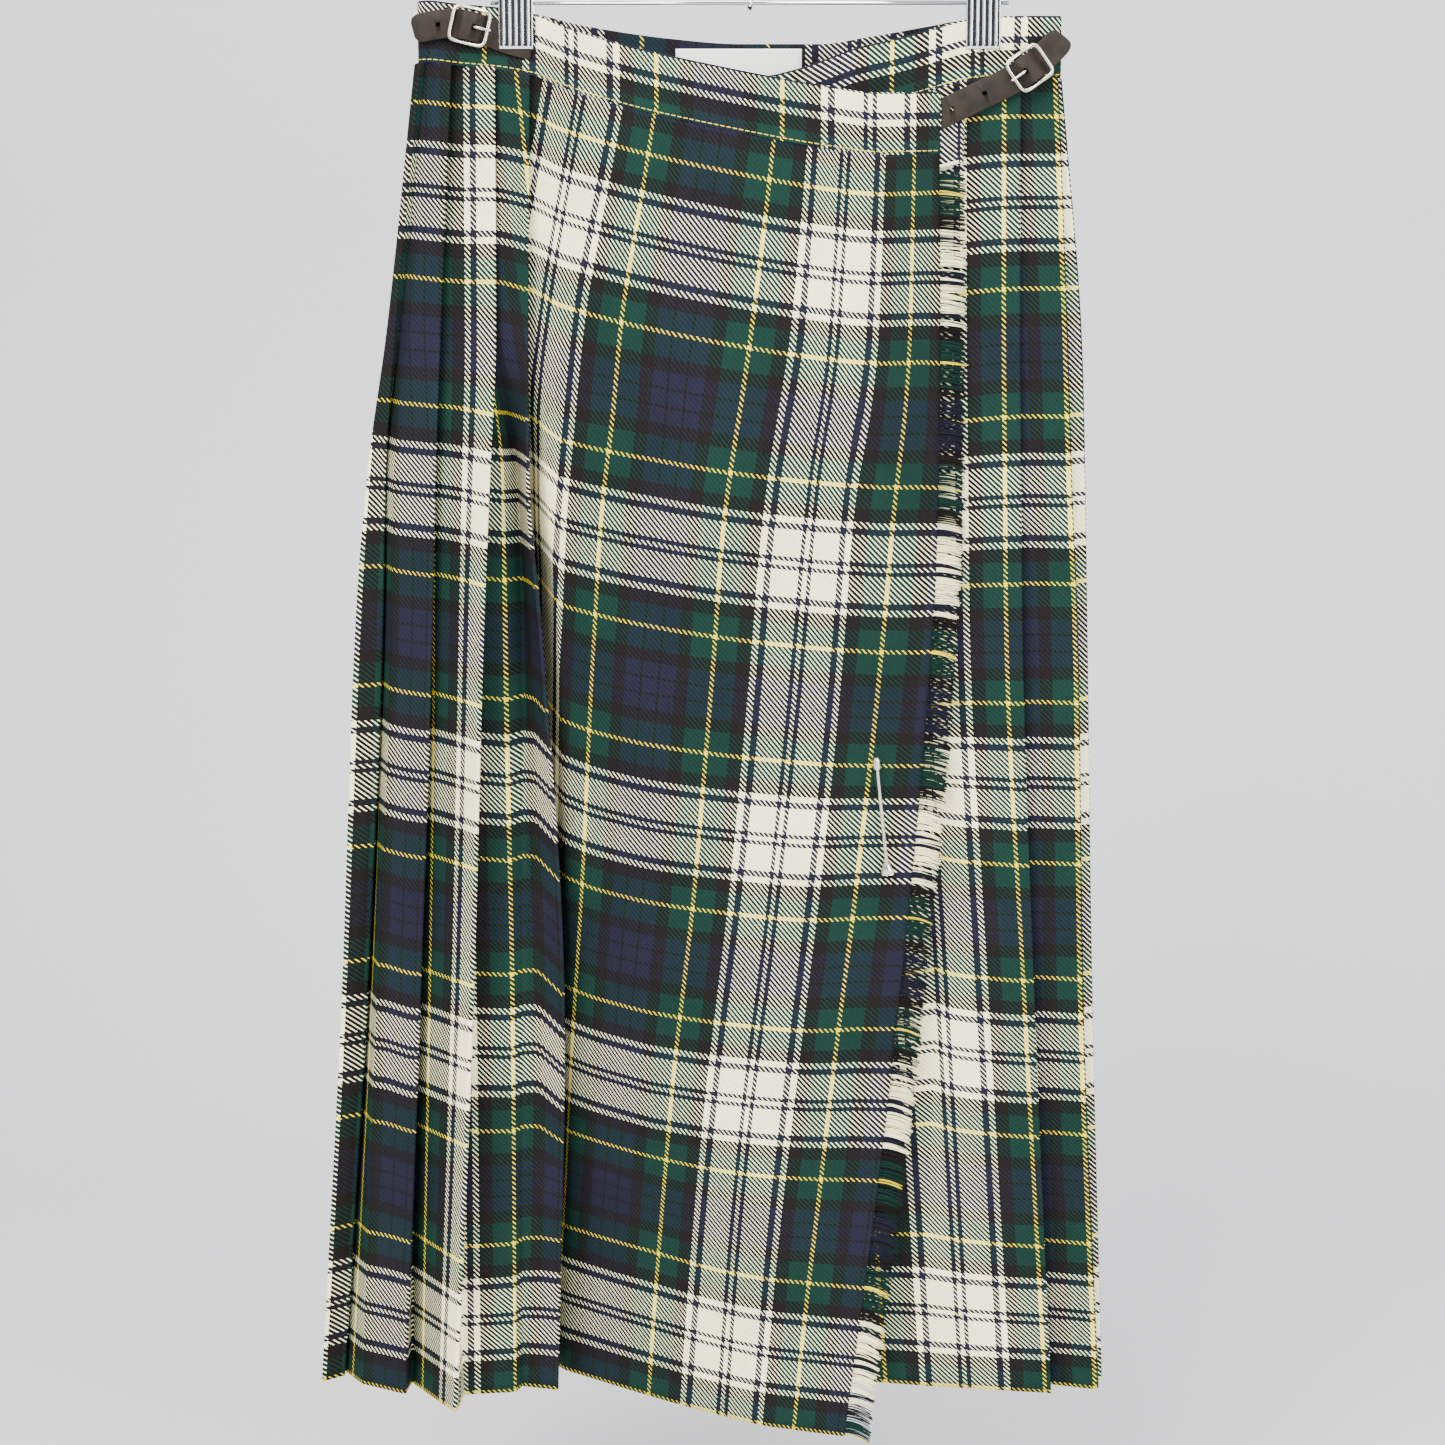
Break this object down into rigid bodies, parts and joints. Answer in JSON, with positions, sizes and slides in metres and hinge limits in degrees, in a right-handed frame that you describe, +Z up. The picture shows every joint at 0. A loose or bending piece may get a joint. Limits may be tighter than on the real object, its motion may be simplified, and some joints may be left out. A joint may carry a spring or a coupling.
{
  "type": "long kilt skirt on a clip hanger",
  "caption": "Long wrap kilt skirt in a dress tartan, with knife pleats, a fringed apron, leather straps with buckles and a kilt pin, hanging from a steel clip hanger.",
  "frame": {"origin": "top of the inside of the hanger's hook, where a rail carries it", "axes": "+Z up, +X to the right as the skirt is seen from the front, +Y to the back"},
  "size_m": [0.4672, 0.1474, 0.925],
  "materials": {
    "wool_twill": "woven wool twill in a dress tartan of green, navy, black, cream and yellow",
    "wool_fringe": "loose wool yarn",
    "bridle_leather": "dark brown, satin",
    "nickel_plate": "nickel-plated",
    "label_tape": "blank white woven tape",
    "chromed_steel": "chrome-plated",
    "spring_steel": "dark"
  },
  "bodies": {
    "root": {"over_apron": "wool_twill", "under_apron": "wool_twill", "pleats_left": "wool_twill", "pleats_back_left": "wool_twill", "pleats_back_right": "wool_twill", "pleats_right": "wool_twill", "waistband": "wool_twill", "band_tab": "wool_twill", "fringe": "wool_fringe", "strap_left": "bridle_leather", "strap_right": "bridle_leather", "keeper_left": "bridle_leather", "keeper_right": "bridle_leather", "buckle_left": "nickel_plate", "buckle_right": "nickel_plate", "buckle_left_prong": "nickel_plate", "buckle_right_prong": "nickel_plate", "kilt_pin": "nickel_plate", "label": "label_tape", "clip_left_front_jaw": "chromed_steel", "clip_left_back_jaw": "chromed_steel", "clip_left_spring": "spring_steel", "clip_right_front_jaw": "chromed_steel", "clip_right_back_jaw": "chromed_steel", "clip_right_spring": "spring_steel", "hanger_bar": "chromed_steel", "hanger_hook": "chromed_steel"}
  },
  "joints": []
}
